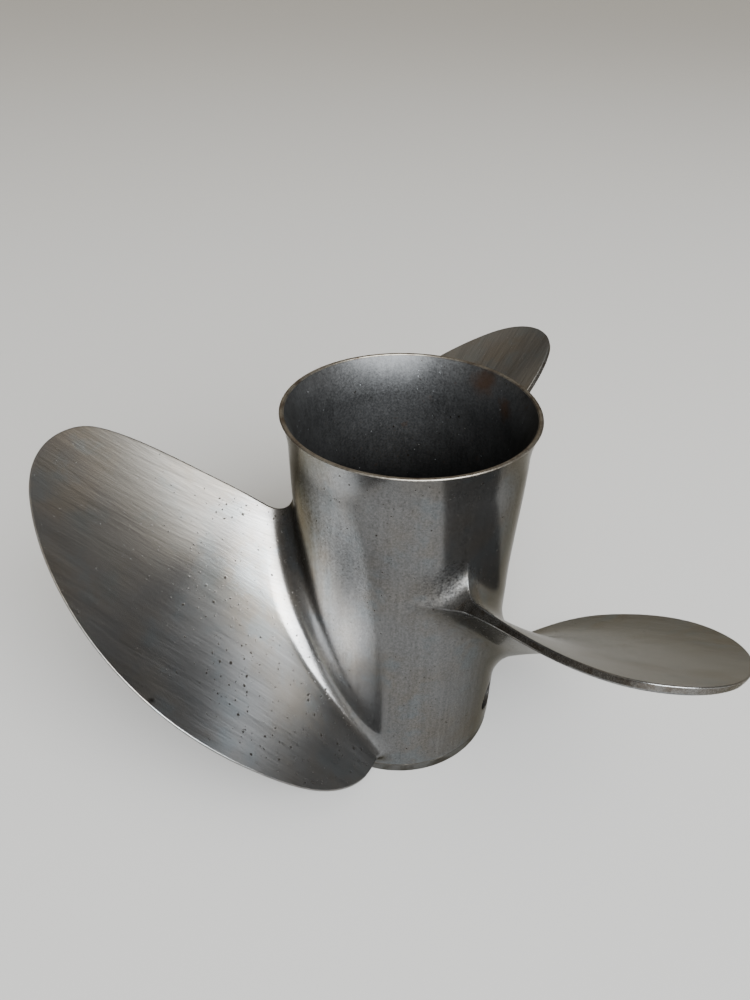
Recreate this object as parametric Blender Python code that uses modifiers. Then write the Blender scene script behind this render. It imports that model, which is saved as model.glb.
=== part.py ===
"""Three-blade propeller for an outboard or stern drive, cast in one piece, with its hub kit.

Metres, +Z aft along the shaft. The origin is on the shaft axis, in the plane of the hub's front ring, on which
the propeller stands. Angles are in degrees, counter-clockwise seen from aft. The helix is left-handed.
"""
import math

import bmesh
import bpy
from mathutils import Matrix, Vector

# Barrel: a round tube with a thin flared lip at its rear
HUB_LENGTH = 0.200
BARREL_RADIUS = 0.0560
BARREL_WALL = 0.0035
TAPER_START = 0.110
TAPER_GAIN = 0.0022
FLARE_LENGTH = 0.020
FLARE_GAIN = 0.0036
LIP_WALL = 0.0020
FRONT_BAND_HEIGHT = 0.0066
FRONT_BAND_STEP = 0.0004

# Blades
BLADE_COUNT = 3
FIRST_BLADE_ANGLE = 180.0
TIP_RADIUS = 0.1781
PITCH = 0.490
FACE_MID_ANGLE = 36.0
FACE_MID_HEIGHT = 0.0802
RAKE_SLOPE = 0.289
TIP_SETBACK = 0.0233
ROOT_THICKNESS = 0.0095
TIP_THICKNESS = 0.0030
TRAILING_EDGE_THICKNESS = 0.0036
TRAILING_ROOT_THICKNESS = 0.0090
TRAILING_ROOT_REACH = 0.060
LEADING_EDGE_THICKNESS = 0.0018

# Root fillets: the wide one runs round the trailing edge and along the pressure side, and narrows over these shares
# of the chord on the pressure side and on the suction side
WIDE_FILLET = 0.0165
NARROW_FILLET = 0.0088
PRESSURE_SIDE_NARROWING = (0.30, 0.88)
SUCTION_SIDE_NARROWING = (0.00, 0.25)

# Trailing-edge and leading-edge angles at even steps from hub to tip, closer together in radius near the tip
BLADE_EDGE_ANGLES = (
    (-0.5, 83.0),
    (-3.2, 80.0),
    (-4.1, 72.8),
    (-4.1, 60.6),
    (-3.3, 48.5),
    (-1.6, 36.2),
    (1.8, 25.2),
    (6.0, 16.6),
    (9.9, 11.5),
)

# Inner hub, webs and vents
INNER_HUB_RADIUS = 0.030
INNER_HUB_FRONT = 0.010
INNER_HUB_LENGTH = 0.106
SHOULDER_THICKNESS = 0.006
SHOULDER_BORE_RADIUS = 0.0185
WEB_ANGLE = 105.0
WEB_THICKNESS = 0.007
WEB_SETBACK = 0.006
VENT_ANGLE = 42.0
VENT_HEIGHT = 0.0250
VENT_RADIUS = 0.0095

# Hub kit
SLEEVE_WIDTH = 0.0406
SLEEVE_CORNER_RADIUS = 0.009
ADAPTER_RADIUS = 0.0150
ADAPTER_FLANGE_RADIUS = 0.0176
ADAPTER_SETBACK = 0.004
SPLINE_COUNT = 15
SPLINE_ROOT_RADIUS = 0.0135
SPLINE_DEPTH = 0.0014
SEAT_GAP = 0.0003

# One spline's outline: share of its pitch round the shaft, share of its depth
SPLINE_OUTLINE = ((0.0, 0.0), (0.4, 0.0), (0.55, 1.0), (0.85, 1.0))

# Mesh fineness
BARREL_STEPS = 72
HUB_STEPS = 48
TAPER_STEPS = 4
FLARE_STEPS = 6
CHORD_STEPS = 14
SPAN_STEPS = 12
FILLET_STEPS = 5
CORNER_SEGMENTS = 4
CUTTER_MARGIN = 0.003

FLARE_START = HUB_LENGTH - FLARE_LENGTH
BLADE_SPAN = TIP_RADIUS - BARREL_RADIUS
BLADE_STEP_ANGLE = 360.0 / BLADE_COUNT
INNER_HUB_REAR = INNER_HUB_FRONT + INNER_HUB_LENGTH


def clear_scene():
    for obj in list(bpy.data.objects):
        bpy.data.objects.remove(obj)


def make_collection(name):
    collection = bpy.data.collections.new(name)
    bpy.context.scene.collection.children.link(collection)
    return collection


def make_material(name, colour, roughness, metallic):
    material = bpy.data.materials.new(name)
    material.use_nodes = True
    shader = material.node_tree.nodes["Principled BSDF"]
    shader.inputs["Base Color"].default_value = (*colour, 1.0)
    shader.inputs["Roughness"].default_value = roughness
    shader.inputs["Metallic"].default_value = metallic
    return material


def object_from_bmesh(name, bm, collection):
    bmesh.ops.recalc_face_normals(bm, faces=bm.faces)
    mesh = bpy.data.meshes.new(name)
    bm.to_mesh(mesh)
    bm.free()
    obj = bpy.data.objects.new(name, mesh)
    collection.objects.link(obj)
    return obj


def cylinder(name, radius, bottom, top, collection, steps=HUB_STEPS):
    bm = bmesh.new()
    bmesh.ops.create_cone(
        bm, cap_ends=True, segments=steps, radius1=radius, radius2=radius, depth=top - bottom,
        matrix=Matrix.Translation((0, 0, (bottom + top) / 2)))
    return object_from_bmesh(name, bm, collection)


def rounded_square_prism(name, width, corner_radius, bottom, top, collection):
    bm = bmesh.new()
    bmesh.ops.create_cube(bm, size=1.0)
    bmesh.ops.scale(bm, vec=(width, width, top - bottom), verts=bm.verts)
    bmesh.ops.translate(bm, vec=(0, 0, (bottom + top) / 2), verts=bm.verts)
    uprights = [edge for edge in bm.edges if edge.verts[0].co.xy == edge.verts[1].co.xy]
    bmesh.ops.bevel(
        bm, geom=uprights, offset=corner_radius, offset_type="OFFSET", segments=CORNER_SEGMENTS,
        profile=0.5, affect="EDGES")
    return object_from_bmesh(name, bm, collection)


def turned_ring(name, outline, collection):
    """A closed outline of (radius, height), outer side first and downwards, turned about the shaft axis."""
    bm = bmesh.new()
    ring = [bm.verts.new((radius, 0, height)) for radius, height in outline]
    for start, end in zip(ring, ring[1:] + ring[:1]):
        bm.edges.new((start, end))
    mesh = bpy.data.meshes.new(name)
    bm.to_mesh(mesh)
    bm.free()
    obj = bpy.data.objects.new(name, mesh)
    collection.objects.link(obj)
    screw = obj.modifiers.new("turn", "SCREW")
    screw.axis = "Z"
    screw.angle = math.tau
    screw.steps = BARREL_STEPS
    screw.render_steps = BARREL_STEPS
    screw.use_merge_vertices = True
    screw.merge_threshold = 0.00001
    screw.use_smooth_shade = True
    return obj


def add_boolean(target, tool, operation):
    modifier = target.modifiers.new(f"{operation.lower()} {tool.name}", "BOOLEAN")
    modifier.operation = operation
    modifier.solver = "EXACT"
    modifier.object = tool
    tool.hide_render = True
    tool.display_type = "WIRE"


def ease(share):
    share = min(1.0, max(0.0, share))
    return share * share * (3 - 2 * share)


def barrel_radius(height):
    """Outer radius: straight at the front, eased outwards up to the flare, then an arc to the lip."""
    radius = BARREL_RADIUS + TAPER_GAIN * ease((height - TAPER_START) / (FLARE_START - TAPER_START))
    into_flare = max(0.0, height - FLARE_START)
    arc_radius = (FLARE_LENGTH ** 2 + FLARE_GAIN ** 2) / (2 * FLARE_GAIN)
    return radius + arc_radius - math.sqrt(arc_radius ** 2 - into_flare ** 2)


def barrel_wall(height):
    """Wall thickness, which thins from the full wall at the front of the flare to the lip."""
    into_flare = max(0.0, height - FLARE_START) / FLARE_LENGTH
    return BARREL_WALL + (LIP_WALL - BARREL_WALL) * into_flare


def make_barrel(collection):
    heights = [HUB_LENGTH - FLARE_LENGTH * step / FLARE_STEPS for step in range(FLARE_STEPS)]
    heights += [FLARE_START - (FLARE_START - TAPER_START) * step / TAPER_STEPS for step in range(TAPER_STEPS + 1)]
    heights.append(FRONT_BAND_HEIGHT)
    outer = [(barrel_radius(height), height) for height in heights]
    band_radius = BARREL_RADIUS - FRONT_BAND_STEP
    band = [(band_radius, FRONT_BAND_HEIGHT - FRONT_BAND_STEP), (band_radius, 0.0)]
    inner = [(BARREL_RADIUS - BARREL_WALL, 0.0)]
    inner += [(barrel_radius(height) - barrel_wall(height), height) for height in reversed(heights[:-1])]
    return turned_ring("propeller_casting", outer + band + inner, collection)


def smooth_value(values, place):
    """Catmull-Rom curve through evenly spaced values, at a place from 0 to 1."""
    last = len(values) - 1
    index = min(int(place * last), last - 1)
    share = place * last - index
    before = values[index - 1] if index > 0 else 2 * values[0] - values[1]
    start, end = values[index], values[index + 1]
    after = values[index + 2] if index + 2 <= last else 2 * values[last] - values[last - 1]
    return 0.5 * (
        2 * start + (end - before) * share
        + (2 * before - 5 * start + 4 * end - after) * share ** 2
        + (3 * start - 3 * end + after - before) * share ** 3)


def face_height(radius):
    """Height of the pressure face at the mid angle: a straight rake that curves further aft to the tip."""
    outward = radius - BARREL_RADIUS
    return FACE_MID_HEIGHT + RAKE_SLOPE * outward + TIP_SETBACK * (outward / BLADE_SPAN) ** 2


def chord_places():
    return [(1 - math.cos(math.pi * step / CHORD_STEPS)) / 2 for step in range(CHORD_STEPS + 1)]


def trailing_edge_thickness(radius):
    """Thickness of the flat trailing edge, which grows over its last reach towards the root."""
    nearness = max(0.0, 1 - max(0.0, radius - BARREL_RADIUS) / TRAILING_ROOT_REACH)
    return TRAILING_EDGE_THICKNESS + (TRAILING_ROOT_THICKNESS - TRAILING_EDGE_THICKNESS) * nearness ** 2


def section_loop(span_share, radius):
    """Blade section on a cylinder: (along, across) points of its face, leading edge, back and trailing edge.

    Along runs on the pitch line towards the leading edge, from the face's mid angle. Across points aft.
    """
    trailing, leading = (smooth_value(angles, span_share) for angles in zip(*BLADE_EDGE_ANGLES))
    along_per_radian = math.hypot(radius, PITCH / math.tau)
    start = math.radians(trailing - FACE_MID_ANGLE) * along_per_radian
    end = math.radians(leading - FACE_MID_ANGLE) * along_per_radian
    thickest = ROOT_THICKNESS + (TIP_THICKNESS - ROOT_THICKNESS) * span_share
    trailing_thickness = trailing_edge_thickness(radius)
    face, back = [], []
    for place in chord_places():
        edge = trailing_thickness + (LEADING_EDGE_THICKNESS - trailing_thickness) * place
        thickness = edge + max(0.0, thickest - edge) * 4 * place * (1 - place)
        along = start + (end - start) * place
        face.append(Vector((along, 0.0)))
        back.append(Vector((along, -thickness)))
    leading_middle = (face[-1] + back[-1]) / 2
    trailing_middle = (face[0] + back[0]) / 2
    return [*face, leading_middle, *reversed(back), trailing_middle]


def fillet_loop():
    """Root fillet's radius at each point of a section's loop."""
    def fillets(narrowing):
        start, end = narrowing
        return [
            WIDE_FILLET + (NARROW_FILLET - WIDE_FILLET) * ease((place - start) / (end - start))
            for place in chord_places()]

    return [*fillets(PRESSURE_SIDE_NARROWING), NARROW_FILLET, *reversed(fillets(SUCTION_SIDE_NARROWING)), WIDE_FILLET]


def fillet_growth(fillet, outward):
    """How far a fillet stands out from the blade at a distance outward from the barrel."""
    rest = max(0.0, fillet - max(0.0, outward))
    return fillet - math.sqrt(fillet ** 2 - rest ** 2)


def grown_loop(loop, growths):
    """The loop's points moved outwards, each by its own distance, at right angles to the outline."""
    grown = []
    for index, (point, growth) in enumerate(zip(loop, growths)):
        forward = (loop[(index + 1) % len(loop)] - point).normalized()
        backward = (point - loop[index - 1]).normalized()
        outward = Vector((-forward.y - backward.y, forward.x + backward.x)).normalized()
        grown.append(point + outward * growth)
    return grown


def wrap_on_cylinder(point, radius, blade_angle):
    """A section's flat point wrapped on its cylinder. The pitch line falls as the angle grows."""
    pitch_angle = math.atan2(PITCH / math.tau, radius)
    turn = (point.x * math.cos(pitch_angle) + point.y * math.sin(pitch_angle)) / radius
    rise = point.y * math.cos(pitch_angle) - point.x * math.sin(pitch_angle)
    angle = math.radians(blade_angle + FACE_MID_ANGLE) + turn
    return Vector((radius * math.cos(angle), radius * math.sin(angle), face_height(radius) + rise))


def section_radii():
    """Radii of the blade's sections from inside the barrel's wall, through the root fillet, to the tip."""
    radii = [BARREL_RADIUS - BARREL_WALL / 2]
    for step in range(FILLET_STEPS):
        turn = math.pi / 2 * (step + 0.5) / FILLET_STEPS
        radii.append(BARREL_RADIUS + WIDE_FILLET * (1 - math.cos(turn)))
    foot = BARREL_RADIUS + WIDE_FILLET
    for step in range(SPAN_STEPS + 1):
        share = 1 - (1 - step / SPAN_STEPS) ** 2
        radii.append(foot + (TIP_RADIUS - foot) * share)
    return radii


def span_share(radius):
    """Place of a radius along the even steps of the blade's edge angles."""
    outward = max(0.0, radius - BARREL_RADIUS) / BLADE_SPAN
    return 1 - math.sqrt(max(0.0, 1 - outward))


def make_blade(name, blade_angle, collection):
    bm = bmesh.new()
    rings = []
    for radius in section_radii():
        growths = [fillet_growth(fillet, radius - BARREL_RADIUS) for fillet in fillet_loop()]
        loop = grown_loop(section_loop(span_share(radius), radius), growths)
        rings.append([bm.verts.new(wrap_on_cylinder(point, radius, blade_angle)) for point in loop])
    for lower, upper in zip(rings, rings[1:]):
        for index in range(len(lower)):
            after = (index + 1) % len(lower)
            bm.faces.new((lower[index], lower[after], upper[after], upper[index]))
    for ring in (rings[0], rings[-1]):
        bm.faces.new((ring[-1], ring[0], ring[-2]))
        for index in range(CHORD_STEPS):
            bm.faces.new((ring[index], ring[index + 1], ring[-3 - index], ring[-2 - index]))
        bm.faces.new((ring[CHORD_STEPS], ring[CHORD_STEPS + 1], ring[CHORD_STEPS + 2]))
    return object_from_bmesh(name, bm, collection)


def make_web(name, angle, collection):
    inner = INNER_HUB_RADIUS - WEB_THICKNESS / 2
    outer = BARREL_RADIUS - BARREL_WALL / 2
    bottom = INNER_HUB_FRONT + WEB_SETBACK
    top = INNER_HUB_REAR - WEB_SETBACK
    bm = bmesh.new()
    bmesh.ops.create_cube(bm, size=1.0)
    bmesh.ops.scale(bm, vec=(outer - inner, WEB_THICKNESS, top - bottom), verts=bm.verts)
    bmesh.ops.translate(bm, vec=((inner + outer) / 2, 0, (bottom + top) / 2), verts=bm.verts)
    bmesh.ops.rotate(bm, matrix=Matrix.Rotation(math.radians(angle), 3, "Z"), verts=bm.verts)
    return object_from_bmesh(name, bm, collection)


def make_vent_cutter(name, angle, collection):
    reach = BARREL_WALL + CUTTER_MARGIN
    turn = Matrix.Rotation(math.radians(angle), 4, "Z")
    place = Matrix.Translation((BARREL_RADIUS, 0, VENT_HEIGHT)) @ Matrix.Rotation(math.pi / 2, 4, "Y")
    bm = bmesh.new()
    bmesh.ops.create_cone(
        bm, cap_ends=True, segments=HUB_STEPS // 2, radius1=VENT_RADIUS, radius2=VENT_RADIUS,
        depth=2 * reach, matrix=turn @ place)
    return object_from_bmesh(name, bm, collection)


def make_casting(parts, tools):
    casting = make_barrel(parts)
    seat_width = SLEEVE_WIDTH + 2 * SEAT_GAP
    seat_corner = SLEEVE_CORNER_RADIUS + SEAT_GAP
    shoulder_front = INNER_HUB_REAR - SHOULDER_THICKNESS

    add_boolean(casting, cylinder("inner_hub", INNER_HUB_RADIUS, INNER_HUB_FRONT, INNER_HUB_REAR, tools), "UNION")
    for number in range(BLADE_COUNT):
        blade_angle = FIRST_BLADE_ANGLE + BLADE_STEP_ANGLE * number
        add_boolean(casting, make_web(f"web_{number + 1}", blade_angle + WEB_ANGLE, tools), "UNION")
        add_boolean(casting, make_blade(f"blade_{number + 1}", blade_angle, tools), "UNION")
        add_boolean(casting, make_vent_cutter(f"vent_{number + 1}", blade_angle + VENT_ANGLE, tools), "DIFFERENCE")

    seat = rounded_square_prism(
        "sleeve_seat", seat_width, seat_corner, INNER_HUB_FRONT - CUTTER_MARGIN, shoulder_front, tools)
    add_boolean(casting, seat, "DIFFERENCE")
    shoulder_bore = cylinder(
        "shoulder_bore", SHOULDER_BORE_RADIUS, shoulder_front - CUTTER_MARGIN, INNER_HUB_REAR + CUTTER_MARGIN, tools)
    add_boolean(casting, shoulder_bore, "DIFFERENCE")
    casting.data.materials.append(make_material("stainless_steel", (0.42, 0.41, 0.40), 0.32, 1.0))
    return casting


def make_drive_sleeve(parts, tools):
    rear = INNER_HUB_REAR - SHOULDER_THICKNESS - SEAT_GAP
    sleeve = rounded_square_prism(
        "drive_sleeve", SLEEVE_WIDTH, SLEEVE_CORNER_RADIUS, INNER_HUB_FRONT, rear, parts)
    bore = cylinder(
        "sleeve_bore", ADAPTER_RADIUS + SEAT_GAP, INNER_HUB_FRONT - CUTTER_MARGIN, rear + CUTTER_MARGIN, tools)
    add_boolean(sleeve, bore, "DIFFERENCE")
    sleeve.data.materials.append(make_material("moulded_plastic", (0.03, 0.03, 0.035), 0.5, 0.0))
    return sleeve


def make_spline_cutter(bottom, top, collection):
    outline = []
    for spline in range(SPLINE_COUNT):
        for pitch_share, depth_share in SPLINE_OUTLINE:
            radius = SPLINE_ROOT_RADIUS - SPLINE_DEPTH * depth_share
            angle = math.tau * (spline + pitch_share) / SPLINE_COUNT
            outline.append((radius * math.cos(angle), radius * math.sin(angle)))
    bm = bmesh.new()
    lower = [bm.verts.new((x, y, bottom)) for x, y in outline]
    floor = bm.faces.new(lower)
    extruded = bmesh.ops.extrude_face_region(bm, geom=[floor], use_keep_orig=True)
    raised = [item for item in extruded["geom"] if isinstance(item, bmesh.types.BMVert)]
    bmesh.ops.translate(bm, vec=(0, 0, top - bottom), verts=raised)
    return object_from_bmesh("spline_bore", bm, collection)


def make_splined_adapter(parts, tools):
    front = INNER_HUB_FRONT + ADAPTER_SETBACK
    flange_front = INNER_HUB_REAR - SHOULDER_THICKNESS
    adapter = cylinder("splined_adapter", ADAPTER_RADIUS, front, INNER_HUB_REAR, parts)
    flange = cylinder("adapter_flange", ADAPTER_FLANGE_RADIUS, flange_front, INNER_HUB_REAR, tools)
    add_boolean(adapter, flange, "UNION")
    splines = make_spline_cutter(front - CUTTER_MARGIN, INNER_HUB_REAR + CUTTER_MARGIN, tools)
    add_boolean(adapter, splines, "DIFFERENCE")
    adapter.data.materials.append(make_material("brass", (0.60, 0.42, 0.18), 0.35, 1.0))
    return adapter


def main():
    clear_scene()
    parts = make_collection("propeller")
    tools = make_collection("cutters_and_unions")
    make_casting(parts, tools)
    make_drive_sleeve(parts, tools)
    make_splined_adapter(parts, tools)


main()
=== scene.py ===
"""The looks of the three-blade propeller: its fine cast surface, its finishes, a plain studio and the camera.

Metres, +Z aft along the shaft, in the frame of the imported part. Angles are counter-clockwise seen from aft.
"""
import math

import bmesh
import bpy
import numpy as np
from mathutils import Matrix, Vector
from mathutils.geometry import delaunay_2d_cdt


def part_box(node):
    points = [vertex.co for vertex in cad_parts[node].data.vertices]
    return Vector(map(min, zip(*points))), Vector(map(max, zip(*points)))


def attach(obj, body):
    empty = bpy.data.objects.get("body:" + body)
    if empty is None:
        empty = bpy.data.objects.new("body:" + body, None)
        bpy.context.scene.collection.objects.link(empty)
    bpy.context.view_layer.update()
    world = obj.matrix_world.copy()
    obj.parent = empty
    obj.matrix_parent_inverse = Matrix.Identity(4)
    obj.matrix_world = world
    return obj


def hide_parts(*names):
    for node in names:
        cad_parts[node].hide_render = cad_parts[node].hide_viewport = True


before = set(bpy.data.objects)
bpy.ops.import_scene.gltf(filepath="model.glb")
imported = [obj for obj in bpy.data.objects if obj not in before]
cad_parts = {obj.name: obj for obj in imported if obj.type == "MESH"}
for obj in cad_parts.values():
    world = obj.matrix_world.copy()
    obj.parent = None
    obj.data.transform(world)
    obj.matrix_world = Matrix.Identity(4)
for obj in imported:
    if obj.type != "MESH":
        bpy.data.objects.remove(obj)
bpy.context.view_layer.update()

CASTING_NODE = "propeller_casting"
SLEEVE_NODE = "drive_sleeve"
ADAPTER_NODE = "splined_adapter"

# Barrel, with the values of the part's own source
casting_low, casting_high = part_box(CASTING_NODE)
HUB_LENGTH = casting_high.z - casting_low.z
BARREL_RADIUS = 0.0560
BARREL_WALL = 0.0035
TAPER_START = 0.110
TAPER_GAIN = 0.0022
FLARE_LENGTH = 0.020
FLARE_GAIN = 0.0036
LIP_WALL = 0.0020
LIP_CORNER = 0.0006
FRONT_CORNER = 0.0007
FRONT_BAND_HEIGHT = 0.0066
FRONT_BAND_STEP = 0.0004

# Groove under the barrel's skin: how far its points lie inside the barrel and below the skin's edge
GROOVE_PROFILE = (
    (0.0002, 0.0002),
    (0.0007, 0.0005),
    (0.0007, 0.0010),
)

# Rings on the front band below the skin's edge, and the height of one in the bore behind the band
BAND_DROPS = (0.0012, 0.0030)
FRONT_BORE_HEIGHT = 0.0023

# Blades
BLADE_COUNT = 3
FIRST_BLADE_ANGLE = 180.0
TIP_RADIUS = 0.1781
PITCH = 0.490
FACE_MID_ANGLE = 36.0
FACE_MID_HEIGHT = 0.0802
RAKE_SLOPE = 0.289
TIP_SETBACK = 0.0233
ROOT_THICKNESS = 0.0095
TIP_THICKNESS = 0.0030
TRAILING_EDGE_THICKNESS = 0.0036
TRAILING_ROOT_THICKNESS = 0.0090
TRAILING_ROOT_REACH = 0.060
LEADING_EDGE_THICKNESS = 0.0018
TRAILING_CORNER = 0.0007
TRAILING_ROOT_CORNER = 0.0011
LEADING_CORNER = 0.0009
LAND_START = 0.0645
WIDE_FILLET = 0.0165
NARROW_FILLET = 0.0088
RIDGE_REACH = 0.25
RIDGE_HOLD = 0.4
PRESSURE_SIDE_NARROWING = (0.30, 0.88)
SUCTION_SIDE_NARROWING = (0.00, 0.25)
BLADE_EDGE_ANGLES = (
    (-0.5, 83.0),
    (-3.2, 80.0),
    (-4.1, 72.8),
    (-4.1, 60.6),
    (-3.3, 48.5),
    (-1.6, 36.2),
    (1.8, 25.2),
    (6.0, 16.6),
    (10.7, 10.7),
)

# The fine tip lies this much inside the solid's, whose outline is made of short straight lines
TIP_INSET = 0.00008

# Inner hub, webs and vents
sleeve_low, sleeve_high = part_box(SLEEVE_NODE)
INNER_HUB_RADIUS = 0.030
INNER_HUB_FRONT = sleeve_low.z
INNER_HUB_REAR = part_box(ADAPTER_NODE)[1].z
INNER_HUB_CORNER = 0.001
END_FACE_RADII = (0.026, 0.0225)
SEAT_GAP = 0.0003
SEAT_WIDTH = sleeve_high.x - sleeve_low.x + 2 * SEAT_GAP
SEAT_CORNER = 0.009 + SEAT_GAP
SEAT_LEAD_IN = 0.0008
SHOULDER_FRONT = sleeve_high.z + SEAT_GAP
SHOULDER_BORE_RADIUS = 0.0185
WEB_ANGLE = 105.0
WEB_THICKNESS = 0.007
WEB_SETBACK = 0.006
WEB_CORNER = 0.0010
WEB_FILLET = 0.003
VENT_ANGLE = 42.0
VENT_HEIGHT = 0.0250
VENT_RADIUS = 0.0095
VENT_CHAMFER = 0.0005

# Mesh seams, in degrees and heights, and its fineness
OUTER_SEAM = -24.0
OUTER_SEAM_SLANT = -20.0
INNER_SEAM = 16.0
INNER_SKIN_BOTTOM = 0.004
INNER_SKIN_TOP = INNER_HUB_REAR + 0.004
SKIN_SPACING = 0.0019
INNER_SPACING = 0.0026
ROW_SPACING = 0.87
RIM_CLEARANCE = 0.7
MERGE_DISTANCE = 1e-9
SECTOR_STEPS = 60
OUTLINE_STEPS = 400
CORNER_STEPS = 12
CHORD_STEPS = 54
EVEN_SHARE = 0.4
FILLET_STEPS = 14
LAND_STEPS = 10
SPAN_STEPS = 44
SPAN_CROWDING = 1.7
TIP_STEPS = 8
FLARE_STEPS = 16
VENT_STEPS = 40
WEB_CORNER_STEPS = 5
WEB_END_STEPS = 3
WEB_SIDE_STEPS = 36
WEB_SPAN_STEPS = 8
SEAT_STEPS = 10
ROUNDING_STEPS = 4
ROUNDING_TURNS = [math.pi / 2 * step / ROUNDING_STEPS for step in range(ROUNDING_STEPS + 1)]
WELD_DISTANCE = 0.000004
SHARP_ANGLE = 38.0

FLARE_START = HUB_LENGTH - FLARE_LENGTH
BORE_RADIUS = BARREL_RADIUS - BARREL_WALL
BLADE_SPAN = TIP_RADIUS - BARREL_RADIUS
SECTOR_ANGLE = 360.0 / BLADE_COUNT
FINISHES = ("polished", "land", "groove", "band", "lip", "rough")


def add_object(name, data):
    thing = bpy.data.objects.new(name, data)
    bpy.context.scene.collection.objects.link(thing)
    return thing


class Builder:
    """Collects points and faces, each face with its finish."""

    def __init__(self):
        self.points = []
        self.faces = []
        self.finishes = []

    def add(self, points):
        start = len(self.points)
        self.points.extend(tuple(point) for point in points)
        return list(range(start, len(self.points)))

    def face(self, corners, finish):
        self.faces.append(tuple(corners))
        self.finishes.append(finish)

    def bridge(self, lower, upper, finish, closed=True):
        count = len(lower)
        for index in range(count if closed else count - 1):
            after = (index + 1) % count
            self.face((lower[index], lower[after], upper[after], upper[index]), finish)


def around(radius, angle, height):
    """Point at an angle in radians round the shaft."""
    return (radius * math.cos(angle), radius * math.sin(angle), height)


def ease(share):
    share = min(1.0, max(0.0, share))
    return share * share * (3 - 2 * share)


def barrel_radius(height):
    """Outer radius: straight at the front, eased outwards up to the flare, then an arc to the lip."""
    radius = BARREL_RADIUS + TAPER_GAIN * ease((height - TAPER_START) / (FLARE_START - TAPER_START))
    into_flare = max(0.0, height - FLARE_START)
    arc_radius = (FLARE_LENGTH ** 2 + FLARE_GAIN ** 2) / (2 * FLARE_GAIN)
    return radius + arc_radius - math.sqrt(arc_radius ** 2 - into_flare ** 2)


def barrel_wall(height):
    into_flare = max(0.0, height - FLARE_START) / FLARE_LENGTH
    return BARREL_WALL + (LIP_WALL - BARREL_WALL) * into_flare


def bore_radius(height):
    return barrel_radius(height) - barrel_wall(height)


def smooth_value(values, place):
    """Catmull-Rom curve through evenly spaced values, at a place from 0 to 1."""
    last = len(values) - 1
    index = min(int(place * last), last - 1)
    share = place * last - index
    before = values[index - 1] if index > 0 else 2 * values[0] - values[1]
    start, end = values[index], values[index + 1]
    after = values[index + 2] if index + 2 <= last else 2 * values[last] - values[last - 1]
    return 0.5 * (
        2 * start + (end - before) * share
        + (2 * before - 5 * start + 4 * end - after) * share ** 2
        + (3 * start - 3 * end + after - before) * share ** 3)


def face_height(radius):
    outward = radius - BARREL_RADIUS
    return FACE_MID_HEIGHT + RAKE_SLOPE * outward + TIP_SETBACK * (outward / BLADE_SPAN) ** 2


def span_share(radius):
    outward = max(0.0, radius - BARREL_RADIUS) / BLADE_SPAN
    return 1 - math.sqrt(max(0.0, 1 - outward))


def edge_places(radius):
    """How far along the pitch line the trailing and leading edges lie, from the face's mid angle."""
    along_per_radian = math.hypot(radius, PITCH / math.tau)
    share = span_share(radius)
    return [
        math.radians(smooth_value(angles, share) - FACE_MID_ANGLE) * along_per_radian
        for angles in zip(*BLADE_EDGE_ANGLES)]


def outline_points():
    """The blade's developed outline: (radius, along) points up the trailing and down the leading edge."""
    sides = ([], [])
    for step in range(OUTLINE_STEPS + 1):
        share = step / OUTLINE_STEPS
        radius = BARREL_RADIUS + BLADE_SPAN * (1 - (1 - share) ** 2)
        for side, along in zip(sides, edge_places(radius)):
            side.append((radius, along))
    trailing, leading = sides
    below = BARREL_RADIUS - 2 * WIDE_FILLET
    return np.array([(below, trailing[0][1]), *trailing, *leading[::-1], (below, leading[0][1])])


def distance_to(points, line):
    """Distance of each point to an open line of points."""
    start, end = line[:-1], line[1:]
    along = end - start
    length = np.maximum((along ** 2).sum(axis=1), 1e-18)
    offset = points[:, None, :] - start
    share = np.clip((offset * along).sum(axis=2) / length, 0.0, 1.0)
    gap = offset - share[:, :, None] * along
    return np.sqrt((gap ** 2).sum(axis=2).min(axis=1))


def trailing_edge_thickness(radius):
    nearness = max(0.0, 1 - max(0.0, radius - BARREL_RADIUS) / TRAILING_ROOT_REACH)
    return TRAILING_EDGE_THICKNESS + (TRAILING_ROOT_THICKNESS - TRAILING_EDGE_THICKNESS) * nearness ** 2


def trailing_corner(radius):
    """Rounding of the trailing edge, which is sharp on the blade and soft where its flat land runs out."""
    softness = 1 - ease((radius - BARREL_RADIUS) / (LAND_START - BARREL_RADIUS))
    return TRAILING_CORNER + (TRAILING_ROOT_CORNER - TRAILING_CORNER) * softness


def chord_places(radius, start, end):
    """Places along a section from its trailing to its leading edge, closest together at the rounded ends."""
    chord = end - start
    probe = 0.0001
    inner = edge_places(max(BARREL_RADIUS, radius - probe))
    outer = edge_places(min(TIP_RADIUS, radius + probe))
    rounds = []
    for before, after, corner in zip(inner, outer, (trailing_corner(radius), LEADING_CORNER)):
        askew = math.hypot(1.0, (after - before) / (2 * probe))
        rounds.append(min(corner * askew, 0.3 * chord) / chord)
    turns = [math.pi / 2 * step / CORNER_STEPS for step in range(CORNER_STEPS + 1)]
    middle = [0.5 - 0.5 * math.cos(math.pi * step / CHORD_STEPS) for step in range(1, CHORD_STEPS)]
    places = [rounds[0] * (1 - math.cos(turn)) for turn in turns]
    for step, eased in enumerate(middle, 1):
        share = (1 - EVEN_SHARE) * eased + EVEN_SHARE * step / CHORD_STEPS
        places.append(rounds[0] + (1 - rounds[0] - rounds[1]) * share)
    places += [1 - rounds[1] * (1 - math.cos(turn)) for turn in reversed(turns)]
    return np.array(places)


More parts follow.
